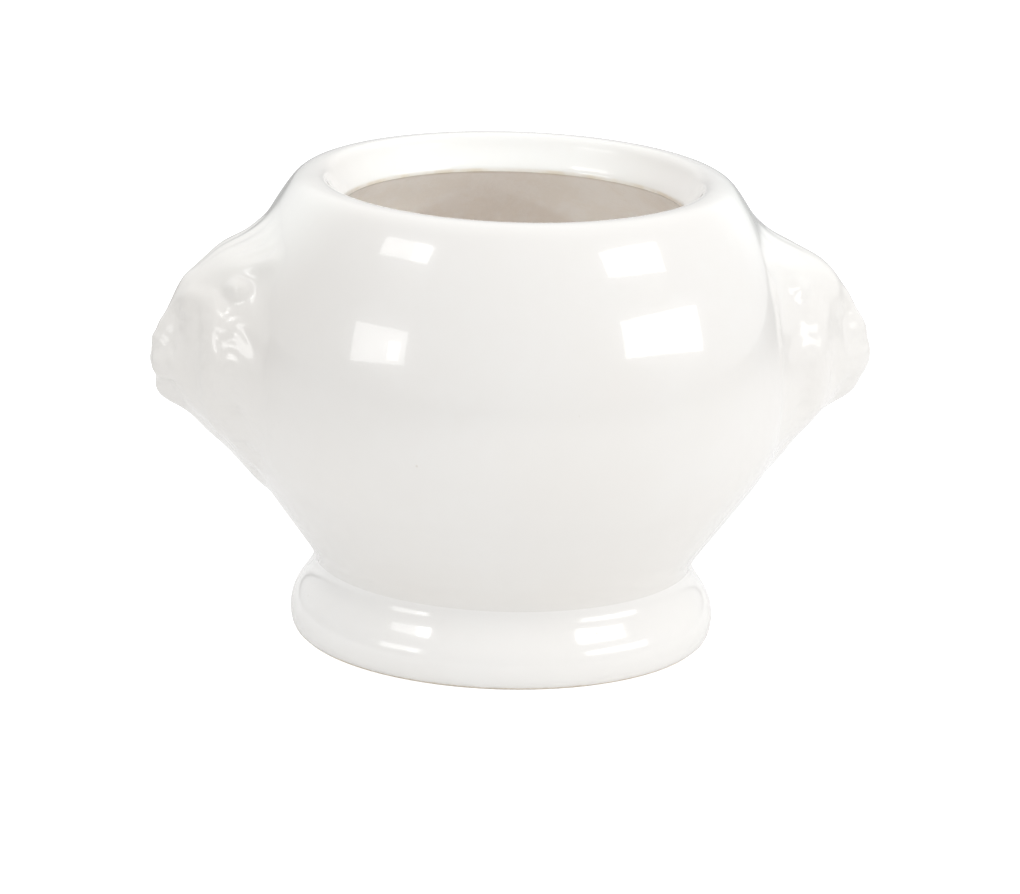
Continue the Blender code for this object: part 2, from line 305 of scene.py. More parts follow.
class Strand:
    """A round strand through a list of points, with a radius at each."""

    def __init__(self, points, radii):
        self.points = np.array(points, float)
        self.radii = np.array(radii, float)

    def mirrored(self):
        return Strand(self.points * (1, -1, 1), self.radii)

    def box(self, margin):
        reach = self.radii[:, None] + margin
        return (self.points - reach).min(0), (self.points + reach).max(0)

    def distance(self, points):
        best = None
        for a, b, ra, rb in zip(self.points, self.points[1:], self.radii, self.radii[1:]):
            along = b - a
            share = sum((points[k] - a[k]) * along[k] for k in range(3)) / max(along @ along, 1e-9)
            share = np.clip(share, 0, 1)
            gap = np.sqrt(sum((points[k] - a[k] - share * along[k]) ** 2 for k in range(3)))
            gap = gap - ra - share * (rb - ra)
            best = gap if best is None else np.minimum(best, gap)
        return best


def smooth_path(points, radii, count=10):
    """A strand whose few points are joined by a smooth curve."""
    points = np.array(points, float)
    at = np.linspace(0, len(points) - 1, count)
    padded = np.vstack([2 * points[0] - points[1], points, 2 * points[-1] - points[-2]])
    path = []
    for value in at:
        i = min(int(value), len(points) - 2)
        t = value - i
        p0, p1, p2, p3 = padded[i:i + 4]
        path.append(0.5 * (2 * p1 + (p2 - p0) * t + (2 * p0 - 5 * p1 + 4 * p2 - p3) * t * t
                           + (3 * p1 - p0 - 3 * p2 + p3) * t**3))
    return Strand(path, np.interp(at, np.arange(len(points)), radii))


# The head looks along +X. Lumps are centre, radii, turns; those off the centre plane have twins.
MASS = (
    Lump((46.0, 0, 57.0), (13.5, 19.0, 21.5)),
    Lump((53.0, 0, 71.6), (15.0, 10.0, 4.4), (0, 34.5, 0)),
    Lump((54.5, 0, 60.5), (10.2, 11.8, 11.0)),
    Lump((52.5, 9.0, 55.0), (8.6, 9.0, 13.0)),
    Lump((53.4, 0, 43.4), (13.0, 9.5, 4.0), (0, -43, 0)),
    Lump((56.0, 6.0, 50.0), (7.0, 5.5, 5.5)),
)
FACE = (
    (Lump((58.6, 0, 68.0), (5.4, 7.4, 3.0), (0, 22, 0)), 1.8),
    (Lump((60.0, 0, 55.0), (9.0, 5.8, 7.4)), 2.2),
    (Lump((56.8, 7.0, 59.0), (6.2, 4.6, 6.0)), 2.2),
    (Lump((60.2, 4.6, 54.6), (6.4, 3.8, 5.4), (0, 0, 18)), 2.2),
    (Lump((59.2, 0, 49.2), (7.6, 4.6, 4.6)), 2.2),
    (smooth_path([(60.6, 0, 68.6), (61.6, 0, 64.4), (64.8, 0, 60.2)], [2.6, 3.0, 3.3]), 1.6),
    (smooth_path([(61.8, 2.4, 66.6), (61.4, 5.2, 67.6), (59.0, 8.2, 67.6), (56.4, 10.0, 66.2)],
                 [1.4, 1.8, 1.6, 0.9]), 1.4),
)
EYE_SOCKET = Lump((65.2, 5.2, 64.0), (2.7, 2.8, 1.8), (0, 0, 35))
EYE = (
    (Lump((61.0, 5.1, 63.9), (2.1, 2.3, 1.5)), 0.6),
    (smooth_path([(63.2, 2.9, 62.8), (63.5, 4.9, 65.0), (62.2, 7.0, 65.2), (60.2, 8.9, 64.2)],
                 [0.5, 0.75, 0.75, 0.4]), 0.7),
    (smooth_path([(63.2, 2.9, 62.6), (63.2, 5.0, 62.2), (61.8, 7.0, 62.7), (60.2, 8.8, 64.0)],
                 [0.4, 0.6, 0.6, 0.4]), 0.7),
)
SNOUT = (
    (Lump((64.6, 2.5, 53.7), (4.9, 3.1, 3.1)), 1.2),
    (Lump((66.3, 0, 58.1), (3.0, 3.5, 1.8), (0, -10, 0)), 0.7),
    (Lump((67.4, 0, 56.6), (1.8, 1.6, 1.6)), 0.7),
    (Lump((64.0, 0, 49.0), (4.4, 3.6, 3.0)), 1.6),
)
CREASES = (
    (smooth_path([(64.6, 0, 71.2), (62.6, 0, 72.6)], [0.5, 0.2], 4), 1.2),
    (smooth_path([(69.9, 0, 55.0), (69.9, 0, 51.4)], [0.35, 0.5], 4), 0.7),
    (smooth_path([(69.4, 0, 50.8), (67.8, 2.6, 50.2), (65.6, 4.6, 50.8), (63.8, 5.8, 52.2)],
                 [0.3, 0.5, 0.5, 0.2]), 0.8),
    (smooth_path([(69.2, 1.6, 57.4), (68.7, 2.8, 57.0), (67.8, 3.4, 57.8)], [0.6, 0.6, 0.3], 5), 0.6),
    (smooth_path([(67.0, 3.4, 59.4), (65.4, 5.2, 58.0), (64.4, 6.8, 55.6)], [0.2, 0.45, 0.2], 6), 1.2),
)
EAR = Lump((53.4, 11.6, 70.0), (2.4, 3.2, 3.2), (0, 25, 30))
EAR_HOLLOW = Lump((56.2, 13.2, 70.2), (1.1, 1.9, 2.0), (0, 25, 30))

# Hair combed back off the brow ends in a groove, which runs out to the side and curls up on the bowl.
COMBED_STARTS = (0, 2.0, 3.9, 5.6)
COMBED_EDGE = smooth_path([(61.5, 6.8, 70.8), (58.2, 9.6, 72.8), (54.0, 12.6, 74.4), (49.5, 15.2, 74.8),
                           (45.6, 17.6, 74.8), (43.6, 19.4, 76.8), (42.6, 19.0, 79.6)],
                          [0.5, 1.1, 1.5, 1.5, 1.3, 1.0, 0.4], 18)
BEARD = (
    smooth_path([(63.4, 0, 46.8), (57.4, 0, 41.6), (49.6, 0, 35.4)], [1.2, 1.5, 0.5]),
    smooth_path([(62.2, 2.2, 46.8), (56.6, 2.4, 41.2), (49.0, 2.2, 34.8)], [1.1, 1.5, 0.5]),
    smooth_path([(60.4, 4.4, 47.0), (55.4, 4.8, 41.6), (48.6, 4.8, 35.4)], [1.1, 1.5, 0.5]),
    smooth_path([(58.2, 6.4, 47.6), (53.8, 7.2, 42.2), (47.8, 7.6, 36.4)], [1.1, 1.4, 0.5]),
)

# The right-hand head came out of its mould fuller at the crown, the root of the nose and the muzzle.
FULLER = (
    (Lump((58.8, 0, 70.8), (5.2, 7.4, 3.2), (0, 34, 0)), 2.0),
    (Lump((61.2, 0, 64.8), (6.2, 4.2, 4.6)), 1.8),
    (Lump((62.4, 0, 59.8), (8.0, 4.8, 5.0)), 2.0),
    (Lump((62.2, 0, 54.8), (9.6, 5.4, 5.8)), 2.0),
    (Lump((64.2, 0, 51.0), (5.6, 4.6, 4.2)), 2.0),
)

# The mane runs from a ring round the face to a ring on the bowl.
FACE_RING = {"out": 60.6, "half_width": 11.0, "middle": 58.2, "half_height": 12.0}
BOWL_RING = {"half_width": 20.2, "middle": 55.5, "half_height": 23.5, "droop": 0.12}
MANE_BULGE = 2.6

# Rows of locks: how many on a side, where each starts and ends between the rings, and its size.
MANE_ROWS = (
    {"count": 8, "start": -0.05, "end": 0.60, "radius": 1.15, "lift": 0.35, "phase": 0.5},
    {"count": 9, "start": 0.36, "end": 1.04, "radius": 1.25, "lift": 0.05, "phase": 0.0},
)
STRANDS_TO_A_LOCK = 3
LOCK_POINTS = 11
COMBED_ANGLE = 0.85

# The clay's grid: its box, its cell, the distance where no clay is near, and the reach of a true distance.
CLAY_BOX = ((38, -33, 20), (74, 33, 92))
CELL = 0.4
EMPTY = 50.0
FAR = 7.5
TABLE_STEP = 0.25

# A fillet runs each head into the wall, and past it a thin flange dips gently under the wall's surface.
FILLET = 3.6
FLANGE = 3.0
FLANGE_DEPTH = 0.5
FLANGE_SLOPE = 0.018

# How worn each head is: blurring passes, and the share of fine detail that is left.
RIGHT_WEAR = (34, 0.15)
LEFT_WEAR = (20, 0.4)

# Rounds of smoothing for the glaze, and to fill grooves. A groove HOLLOW_DEPTH deep counts as full.
GLAZE_ROUNDS = 4
FILLING_ROUNDS = 24
HOLLOW_DEPTH = 0.5
RAISED_OVER = 8.0


def mane_point(angle, share):
    """A point on the mane's surface: angle 0 is up and pi down, share 0 at the face and 1 at the bowl."""
    side, up = math.sin(angle), math.cos(angle)
    width = BOWL_RING["half_width"] * (1 - BOWL_RING["droop"] * up)
    near = np.array([FACE_RING["out"], side * FACE_RING["half_width"],
                     FACE_RING["middle"] + up * FACE_RING["half_height"]])
    y = side * width
    z = BOWL_RING["middle"] + up * BOWL_RING["half_height"]
    far = np.array([math.sqrt(belly_radius(z) ** 2 - y * y), y, z])
    point = near + share * (far - near)
    point[0] += MANE_BULGE * abs(side) * math.sin(math.pi * min(max(share, 0), 1))
    return point


def mane_normal(angle, share):
    step = 0.02
    across = mane_point(angle + step, share) - mane_point(angle - step, share)
    along = mane_point(angle, share + step) - mane_point(angle, share - step)
    normal = np.cross(along, across)
    normal /= np.linalg.norm(normal)
    return normal if normal[0] > 0 else -normal


def combed_strand(start):
    """A strand of hair combed back from the brow to the bowl's shoulder, spreading as it goes."""
    y = 2.5 * start
    z = 79.0 - 0.012 * y * y
    brow = np.array([61.4 - 0.08 * start * start, start, 69.4])
    shoulder = np.array([math.sqrt(belly_radius(z) ** 2 - y * y), y, z])
    crown = 0.5 * (brow + shoulder) + (0.4, 0, 0.5)
    return smooth_path([brow, crown, shoulder], [1.0, 1.7, 0.6], 12)


def lock_strands(row, index):
    """The strands of one lock: they spread from the root, swell, and meet again at a curled tip."""
    spacing = math.pi / row["count"]
    middle = spacing * (index + row["phase"])
    wobble = math.sin(7.3 * index + 11.0 * row["start"])
    thickness = 1 + 0.18 * math.sin(4.1 * index + 5.0 * row["start"])
    strands = []
    for strand in range(STRANDS_TO_A_LOCK):
        offset = (strand - (STRANDS_TO_A_LOCK - 1) / 2) / STRANDS_TO_A_LOCK
        points, radii = [], []
        for t in np.linspace(0, 1, LOCK_POINTS):
            share = row["start"] + t * (row["end"] + 0.07 * wobble - row["start"])
            spread = math.sin(math.pi * (0.18 + 0.74 * t))
            curl = 0.12 * math.sin(2 * math.pi * t + 1.5 * wobble) + 0.10 * t * math.sin(middle)
            angle = middle + offset * spacing * 1.15 * spread + curl * (0.6 + 0.4 * math.sin(middle))
            height = row["lift"] - 1.1 * (1 - t) ** 2 - 1.3 * max(t - 0.8, 0)
            radius = thickness * row["radius"] * (0.45 + 0.65 * math.sin(math.pi * (0.2 + 0.72 * t)))
            points.append(mane_point(angle, share) + (height - 0.55 * radius) * mane_normal(angle, share))
            radii.append(radius)
        strands.append(Strand(points, radii))
    return strands


def wall_distance(clay):
    """The distance from each grid point to the bowl's outside, below zero inside it."""
    x, y, z = clay.axes
    outline = np.concatenate([crest()[::12], belly()[::6][1:]])
    radii = np.arange(30.0, 90.0, TABLE_STEP)
    table = np.full((len(radii), len(z)), 1e9)
    for a, b in zip(outline, outline[1:]):
        along = b - a
        share = ((radii[:, None] - a[0]) * along[0] + (z[None] - a[1]) * along[1]) / (along @ along)
        share = np.clip(share, 0, 1)
        gap = np.hypot(radii[:, None] - a[0] - share * along[0], z[None] - a[1] - share * along[1])
        table = np.minimum(table, gap)
    line = outline[::-1]
    surface = np.interp(z, line[:, 1], line[:, 0])
    table = np.where(radii[:, None] < surface[None], -table, table)
    place = (np.hypot(x[:, None], y[None]) - radii[0]) / TABLE_STEP
    index = place.astype(int)
    share = (place - index)[..., None]
    return (table[index] * (1 - share) + table[index + 1] * share).astype(np.float32)


def model_head(extra, passes, detail):
    """The lion's head as clay, worn by its mould, pressed on the bowl's outside and smoothed into it."""
    clay = Clay(*CLAY_BOX, CELL)

    def both(shape):
        centred = isinstance(shape, Lump) and shape.centre[1] == 0
        centred = centred or (isinstance(shape, Strand) and not shape.points[:, 1].any())
        return (shape,) if centred else (shape, shape.mirrored())

    for lump in MASS:
        for shape in both(lump):
            clay.add(shape, 2.5)
    for row in MANE_ROWS:
        for index in range(row["count"] + (row["phase"] == 0)):
            if math.pi / row["count"] * (index + row["phase"]) < COMBED_ANGLE:
                continue
            for strand in lock_strands(row, index):
                for shape in (strand, strand.mirrored()):
                    clay.add(shape, 0.7)
    combed = tuple(combed_strand(start) for start in COMBED_STARTS)
    for strand in BEARD + combed:
        for shape in both(strand):
            clay.add(shape, 2.0)
    for shape in both(EAR):
        clay.add(shape, 0.8)
    for shape in both(EAR_HOLLOW):
        clay.carve(shape, 0.6)
    for lump, soft in FACE + extra:
        for shape in both(lump):
            clay.add(shape, soft)
    for shape in both(EYE_SOCKET):
        clay.carve(shape, 1.2)
    for lump, soft in EYE + SNOUT:
        for shape in both(lump):
            clay.add(shape, soft)
    for lump, soft in CREASES + ((COMBED_EDGE, 1.4),):
        for shape in both(lump):
            clay.carve(shape, soft)
    head = clay.worn(passes, detail)
    wall = wall_distance(clay)
    lifted = wall + FLANGE_SLOPE * (head - FILLET)
    blend = np.maximum(FILLET - np.abs(head - lifted), 0)
    skin = np.minimum(head, lifted) - blend * blend / (4 * FILLET)
    clay.distance = np.maximum.reduce([skin, -(wall + FLANGE_DEPTH), head - FILLET - FLANGE])
    return clay.surface()


def smoothed(points, quads, rounds):
    """Each point drawn towards its neighbours' middle a few times, as glaze softens a moulding."""
    edges = np.unique(np.sort(np.concatenate([quads[:, [k, (k + 1) % 4]] for k in range(4)]), axis=1), axis=0)
    count = np.bincount(edges.ravel(), minlength=len(points))[:, None]
    for _ in range(rounds):
        total = np.zeros_like(points)
        np.add.at(total, edges[:, 0], points[edges[:, 1]])
        np.add.at(total, edges[:, 1], points[edges[:, 0]])
        points = 0.5 * points + 0.5 * total / count
    return points


def hollows(points, quads, normals):
    """How deep each point lies in a groove, from 0 on open skin to 1 at HOLLOW_DEPTH."""
    filled = smoothed(points, quads, FILLING_ROUNDS)
    return np.clip(((filled - points) * normals).sum(1) / HOLLOW_DEPTH, 0, 1)


def lion_head(name, turn, extra, passes, detail):
    """A head facing +X (turn 1), or turned half round to face -X (turn -1), with its glaze attributes."""
    points, quads = model_head(extra, passes, detail)
    quads = quads[:, ::-1].astype(int)
    points = smoothed(points.astype(float), quads, GLAZE_ROUNDS) * (turn, turn, 1)
    above_wall = np.hypot(points[:, 0], points[:, 1]) - belly_radius(points[:, 2])
    raised = np.clip(above_wall / RAISED_OVER, 0, 1).astype(np.float32)
    mesh = bpy.data.meshes.new(name)
    mesh.from_pydata(points * MM, [], quads)
    normals = np.empty(len(points) * 3, np.float32)
    mesh.vertex_normals.foreach_get("vector", normals)
    depth = hollows(points, quads, normals.reshape(-1, 3)).astype(np.float32)
    mesh.attributes.new("hollow", "FLOAT", "POINT").data.foreach_set("value", depth)
    mesh.attributes.new("raised", "FLOAT", "POINT").data.foreach_set("value", raised)
    return piece(name, mesh)


# ---------------------------------------------------------------- materials


class Nodes:
    """Short names for building a material's nodes. Textures are in object space, in metres."""

    def __init__(self, owner):
        owner.use_nodes = True
        self.tree = owner.node_tree
        self.shader = self.tree.nodes.get("Principled BSDF")
        self.place = self.tree.nodes.new("ShaderNodeTexCoord").outputs["Object"]

    def link(self, source, target):
        self.tree.links.new(source, target)

    def noise(self, wavelength, detail=2.0, roughness=0.5):
        node = self.tree.nodes.new("ShaderNodeTexNoise")
        node.inputs["Scale"].default_value = 1 / wavelength
        node.inputs["Detail"].default_value = detail
        node.inputs["Roughness"].default_value = roughness
        self.link(self.place, node.inputs["Vector"])
        return node.outputs["Fac"]

    def mapped(self, value, low, high, to_low, to_high):
        node = self.tree.nodes.new("ShaderNodeMapRange")
        node.interpolation_type = "SMOOTHSTEP"
        for name, number in (("From Min", low), ("From Max", high), ("To Min", to_low), ("To Max", to_high)):
            node.inputs[name].default_value = number
        self.link(value, node.inputs["Value"])
        return node.outputs["Result"]

    def mixed(self, share, first, second):
        node = self.tree.nodes.new("ShaderNodeMix")
        node.data_type = "RGBA"
        self.link(share, node.inputs["Factor"])
        for socket, colour in ((node.inputs["A"], first), (node.inputs["B"], second)):
            if isinstance(colour, tuple):
                socket.default_value = (*colour, 1)
            else:
                self.link(colour, socket)
        return node.outputs["Result"]

    def calculated(self, operation, first, second):
        """The result of a Math node, from sockets or plain numbers."""
        node = self.tree.nodes.new("ShaderNodeMath")
        node.operation = operation
        for socket, value in zip(node.inputs, (first, second)):
            if isinstance(value, (int, float)):
                socket.default_value = value
            else:
                self.link(value, socket)
        return node.outputs["Value"]

    def along(self, vector, heading):
        """How far a vector reaches along a heading."""
        node = self.tree.nodes.new("ShaderNodeVectorMath")
        node.operation = "DOT_PRODUCT"
        node.inputs[1].default_value = heading
        self.link(vector, node.inputs[0])
        return node.outputs["Value"]

    def attribute(self, name):
        node = self.tree.nodes.new("ShaderNodeAttribute")
        node.attribute_name = name
        return node.outputs["Fac"]

    def height(self):
        node = self.tree.nodes.new("ShaderNodeSeparateXYZ")
        self.link(self.place, node.inputs["Vector"])
        return node.outputs["Z"]

    def outward(self):
        """How far the surface faces away from the bowl's axis: 1 straight out, -1 straight in."""
        level = self.tree.nodes.new("ShaderNodeVectorMath")
        level.operation = "MULTIPLY"
        level.inputs[1].default_value = (1, 1, 0)
        self.link(self.place, level.inputs[0])
        unit = self.tree.nodes.new("ShaderNodeVectorMath")
        unit.operation = "NORMALIZE"
        self.link(level.outputs["Vector"], unit.inputs[0])
        facing = self.tree.nodes.new("ShaderNodeVectorMath")
        facing.operation = "DOT_PRODUCT"
        self.link(unit.outputs["Vector"], facing.inputs[0])
        self.link(self.tree.nodes.new("ShaderNodeNewGeometry").outputs["Normal"], facing.inputs[1])
        return facing.outputs["Value"]

    def bumps(self, *layers):
        """Bumps one over another, each a value from 0 to 1 and its depth in metres."""
        normal = None
        for value, depth in layers:
            node = self.tree.nodes.new("ShaderNodeBump")
            node.inputs["Distance"].default_value = depth
            self.link(value, node.inputs["Height"])
            if normal:
                self.link(normal, node.inputs["Normal"])
            normal = node.outputs["Normal"]
        return normal


WHITE = (0.865, 0.850, 0.825)
CREAM = (0.850, 0.828, 0.795)
# The foot's two glaze colours are painted lighter than WHITE and CREAM: painted light on the foot.
FOOT_PAINTED_LIGHT_WHITE = (0.905, 0.897, 0.880)
FOOT_PAINTED_LIGHT_CREAM = (0.895, 0.880, 0.855)
# Darker colour for the heads' hollows: partly glaze pooling, partly painted shade in the grooves.
POOLED_GLAZE_AND_SHADE = (0.790, 0.768, 0.735)
SPECK = (0.62, 0.56, 0.48)
BISQUE = (0.82, 0.77, 0.69)
# The cavity's colours are painted lighter and warmer than WHITE and CREAM: painted light inside the bowl.
CAVITY_PAINTED_LIGHT = (0.935, 0.908, 0.880)
CAVITY_PAINTED_LIGHT_WARMER = (0.905, 0.862, 0.815)
# A brownish colour painted round the throat's lip on its inward face: painted shade under the collar.
THROAT_EDGE_SHADE = (0.74, 0.66, 0.54)
BARE_RING_HEIGHT = 0.7 * MM


def speckled(nodes, colour, share_of_specks):
    """A few faint kiln specks, each a soft dot under half a millimetre wide."""
    cells = nodes.tree.nodes.new("ShaderNodeTexVoronoi")
    cells.inputs["Scale"].default_value = 1 / (2.6 * MM)
    nodes.link(nodes.place, cells.inputs["Vector"])
    dot = nodes.mapped(cells.outputs["Distance"], 0.05, 0.13, 0.35, 0.0)
    chosen = nodes.mapped(cells.outputs["Color"], share_of_specks, share_of_specks + 0.01, 1.0, 0.0)
    return nodes.mixed(nodes.calculated("MULTIPLY", dot, chosen), colour, SPECK)


def porcelain(nodes, specks, white, cream):
    """White porcelain's colour: broad warm clouds, a fine mottle and a few specks."""
    tone = nodes.mapped(nodes.noise(55 * MM, 3), 0.35, 0.65, 0.0, 1.0)
    mottle = nodes.mapped(nodes.noise(3.5 * MM, 2), 0.3, 0.7, 0.0, 0.25)
    colour = nodes.mixed(mottle, nodes.mixed(tone, white, cream), cream)
    return speckled(nodes, colour, specks)


def gloss(nodes, colour, roughness, *bumps):
    """Clear glaze over the colour: a smooth coat that dips and ripples a little, as fired glaze does."""
    nodes.link(colour, nodes.shader.inputs["Base Color"])
    nodes.link(roughness, nodes.shader.inputs["Roughness"])
    dips = (nodes.noise(26 * MM, 1), 0.13 * MM)
    ripple = (nodes.noise(1.3 * MM, 2), 0.0022 * MM)
    surface = nodes.bumps(dips, ripple, *bumps)
    nodes.link(surface, nodes.shader.inputs["Normal"])
    nodes.link(surface, nodes.shader.inputs["Coat Normal"])
    nodes.shader.inputs["Coat Weight"].default_value = 1.0
    nodes.shader.inputs["Coat Roughness"].default_value = 0.03
    nodes.shader.inputs["Coat IOR"].default_value = 1.5


def wall_glaze(name, specks):
    """The body and collar: white outside; within the cavity the glaze is painted lighter and warmer, a
    painted light for the light bounced about inside, mottled and grainier.
    """
    material = bpy.data.materials.new(name)
    nodes = Nodes(material)
    facing_in = nodes.mapped(nodes.outward(), 0.15, 0.35, 1.0, 0.0)
    above = nodes.mapped(nodes.height(), (FLOOR_TOP - 3) * MM, (FLOOR_TOP - 2) * MM, 0.0, 1.0)
    below = nodes.mapped(nodes.height(), (THROAT[1] - 0.4) * MM, (THROAT[1] + 0.1) * MM, 1.0, 0.0)
    inside = nodes.calculated("MULTIPLY", nodes.calculated("MULTIPLY", above, below), facing_in)
    # Inside, the glaze is painted lighter and warmer, a painted light, mottled at random between two tones.
    cavity_mottle = nodes.mapped(nodes.noise(8 * MM, 5, 0.7), 0.38, 0.62, 0.0, 1.0)
    cavity_painted_light_colour = nodes.mixed(cavity_mottle, CAVITY_PAINTED_LIGHT, CAVITY_PAINTED_LIGHT_WARMER)
    colour = nodes.mixed(inside, porcelain(nodes, specks, WHITE, CREAM), cavity_painted_light_colour)
    # A ragged brownish band at the throat's lip, on the inner face: painted shade under the collar's
    # overhang.
    near_edge = nodes.calculated("ABSOLUTE", nodes.calculated("SUBTRACT", nodes.height(), THROAT[1] * MM), 0)
    throat_shade = nodes.mapped(near_edge, 0.25 * MM, 0.75 * MM, 0.8, 0.0)
    throat_shade = nodes.calculated("MULTIPLY", throat_shade, facing_in)
    throat_shade = nodes.calculated("MULTIPLY", throat_shade, nodes.mapped(nodes.noise(5 * MM, 3), 0.35, 0.65, 0.25, 1.0))
    colour = nodes.mixed(throat_shade, colour, THROAT_EDGE_SHADE)
    roughness = nodes.calculated("ADD", nodes.mapped(nodes.noise(9 * MM, 3), 0.3, 0.7, 0.14, 0.26),
                                 nodes.calculated("MULTIPLY", inside, 0.3))
    grain = nodes.calculated("MULTIPLY", nodes.noise(0.9 * MM, 3), inside)
    gloss(nodes, colour, roughness, (grain, 0.03 * MM))
    return material


def head_glaze():
    """The lion heads: the glaze thins where they stand proud, and the hollows are painted a little darker,
    partly as glaze pooling and partly as painted shade in the grooves.
    """
    material = bpy.data.materials.new("head_glaze")
    nodes = Nodes(material)
    # Hollows are painted darker: glaze pooling there, and painted shade where the grooves fall into shade.
    pooled_and_shaded = nodes.mapped(nodes.attribute("hollow"), 0.1, 0.9, 0.0, 0.7)
    colour = nodes.mixed(pooled_and_shaded, porcelain(nodes, 0.06, WHITE, CREAM), POOLED_GLAZE_AND_SHADE)
    roughness = nodes.mapped(nodes.noise(5 * MM, 3), 0.3, 0.7, 0.16, 0.26)
    gloss(nodes, colour, roughness)
    thinner = nodes.mapped(nodes.attribute("raised"), 0.0, 0.9, 1.0, 0.25)
    nodes.link(thinner, nodes.shader.inputs["Coat Weight"])
    return material


def foot_glaze():
    """The foot: glazed but for its resting ring, which is wiped bare so that it doesn't stick in the kiln."""
    material = bpy.data.materials.new("foot_glaze")
    nodes = Nodes(material)
    ragged = nodes.calculated("MULTIPLY", nodes.noise(4 * MM, 3), 0.7 * MM)
    level = nodes.calculated("SUBTRACT", nodes.height(), ragged)
    glazed = nodes.mapped(level, BARE_RING_HEIGHT - 0.5 * MM, BARE_RING_HEIGHT - 0.3 * MM, 0.0, 1.0)
    clay = nodes.mixed(nodes.mapped(nodes.noise(1.1 * MM, 4), 0.4, 0.6, 0.0, 0.5), BISQUE, SPECK)
    # The glazed foot takes the lighter colours, a painted light; the bare ring keeps the clay's own colour.
    colour = nodes.mixed(glazed, clay, porcelain(nodes, 0.12, FOOT_PAINTED_LIGHT_WHITE, FOOT_PAINTED_LIGHT_CREAM))
    smooth = nodes.mapped(nodes.noise(9 * MM, 3), 0.3, 0.7, 0.14, 0.26)
    bare = nodes.calculated("SUBTRACT", 1.0, glazed)
    roughness = nodes.calculated("ADD", smooth, nodes.calculated("MULTIPLY", bare, 0.6))
    grit = nodes.calculated("MULTIPLY", nodes.noise(0.35 * MM, 3), bare)
    gloss(nodes, colour, roughness, (grit, 0.08 * MM))
    nodes.link(glazed, nodes.shader.inputs["Coat Weight"])
    return material


# ---------------------------------------------------------------- studio

# The camera stands a metre off, in front and a little above, and leans about two degrees.
CAMERA = {"azimuth": -8.0, "elevation": 15.68, "distance": 0.9939, "pivot": (0, 0, 0.042),
          "aim": (0.0007, -0.0001, 0.0362), "roll": -1.89, "lens": 181.5}

# Soft boxes: azimuth and elevation seen from the bowl, width, height and lean in degrees, and radiance.
BOX_DISTANCE = 2.0
BOWL_MIDDLE = Vector((0, 0, 0.045))
SOFT_BOXES = {
    "left_high": (-69.5, 43.3, 21, 7, 15, 2.3),
    "left_high_strip": (-60.5, 45.0, 6.5, 7, 15, 2.8),
    "left_low": (-63.3, 14.4, 24, 11, 8, 2.4),
    "left_low_strip": (-56.0, 14.0, 5, 6, 8, 2.6),
    "right_high": (60, 40.0, 26, 10, -16, 2.8),
    "right_low": (60, 17.2, 37, 11.5, -10, 2.8),
}

# The floor: its glow to the camera alone, and its painted whiteness near the bowl and further off, a painted
# pool of light fading to painted shade.
FLOOR_GLOW = 0.85
FLOOR_NEAR_PAINTED_LIGHT = 0.90
FLOOR_FAR_PAINTED_SHADE = 0.52

# Two narrow beams come in through the mouth, each onto the far inner wall: azimuth, elevation and power.
BEAM_TARGET = (29, 36, 68)
BEAM_DISTANCE = 1.2
BEAM_WIDTH = math.radians(1.35)
BEAM_COLOUR = (0.80, 0.96, 1.0)
BEAMS = {
    "right_beam": (62, 17, 66.0),
    "left_beam": (-62, 17, 44.0),
}

# The room's brightness, how it grows along each axis, and how far it is dimmed behind and to the left.
ROOM = 0.96
ROOM_SLOPE = (0.10, 0.14, 0.46)
BEHIND = (0.14, 0.985, 0.10)
BEHIND_DIMMING = 0.28
LEFT = (-0.99, 0.10, -0.08)
LEFT_DIMMING = 0.3


def direction(azimuth, elevation):
    """The unit vector from the bowl: azimuth 0 is the -Y side, and 90 is the +X side."""
    turn, rise = math.radians(azimuth), math.radians(elevation)
    return Vector((math.sin(turn) * math.cos(rise), -math.cos(turn) * math.cos(rise), math.sin(rise)))


def add_camera():
    camera = bpy.data.cameras.new("camera")
    camera.lens = CAMERA["lens"]
    obj = bpy.data.objects.new("camera", camera)
    place = Vector(CAMERA["pivot"]) + direction(CAMERA["azimuth"], CAMERA["elevation"]) * CAMERA["distance"]
    forward = (Vector(CAMERA["aim"]) - place).normalized()
    right = forward.cross(Vector((0, 0, 1))).normalized()
    up = right.cross(forward)
    level = Matrix((right, up, -forward)).transposed()
    lean = Matrix.Rotation(math.radians(CAMERA["roll"]), 3, forward)
    obj.matrix_world = Matrix.Translation(place) @ (lean @ level).to_4x4()
    bpy.context.scene.collection.objects.link(obj)
    bpy.context.scene.camera = obj


def add_soft_box(name, azimuth, elevation, width, height, lean, radiance):
    light = bpy.data.lights.new(name, "AREA")
    light.shape = "RECTANGLE"
    light.size = 2 * BOX_DISTANCE * math.tan(math.radians(width / 2))
    light.size_y = 2 * BOX_DISTANCE * math.tan(math.radians(height / 2))
    light.energy = radiance * math.pi * light.size * light.size_y
    obj = bpy.data.objects.new(name, light)
    outwards = direction(azimuth, elevation)
    obj.location = outwards * BOX_DISTANCE + BOWL_MIDDLE
    level = outwards.to_track_quat("Z", "Y").to_matrix()
    obj.rotation_euler = (Matrix.Rotation(math.radians(lean), 3, outwards) @ level).to_euler()
    bpy.context.scene.collection.objects.link(obj)


def add_beam(name, azimuth, elevation, power):
    """A soft-edged beam through the mouth, from one side onto the inner wall of the other."""
    light = bpy.data.lights.new(name, "SPOT")
    light.energy = power
    light.spot_size = BEAM_WIDTH
    light.color = BEAM_COLOUR
    light.spot_blend = 1.0
    light.shadow_soft_size = 0.02
    obj = bpy.data.objects.new(name, light)
    x, y, z = BEAM_TARGET
    target = Vector((-math.copysign(x, azimuth), y, z)) * MM
    outwards = direction(azimuth, elevation)
    obj.location = target + outwards * BEAM_DISTANCE
    obj.rotation_euler = outwards.to_track_quat("Z", "Y").to_euler()
    obj.visible_glossy = False
    bpy.context.scene.collection.objects.link(obj)


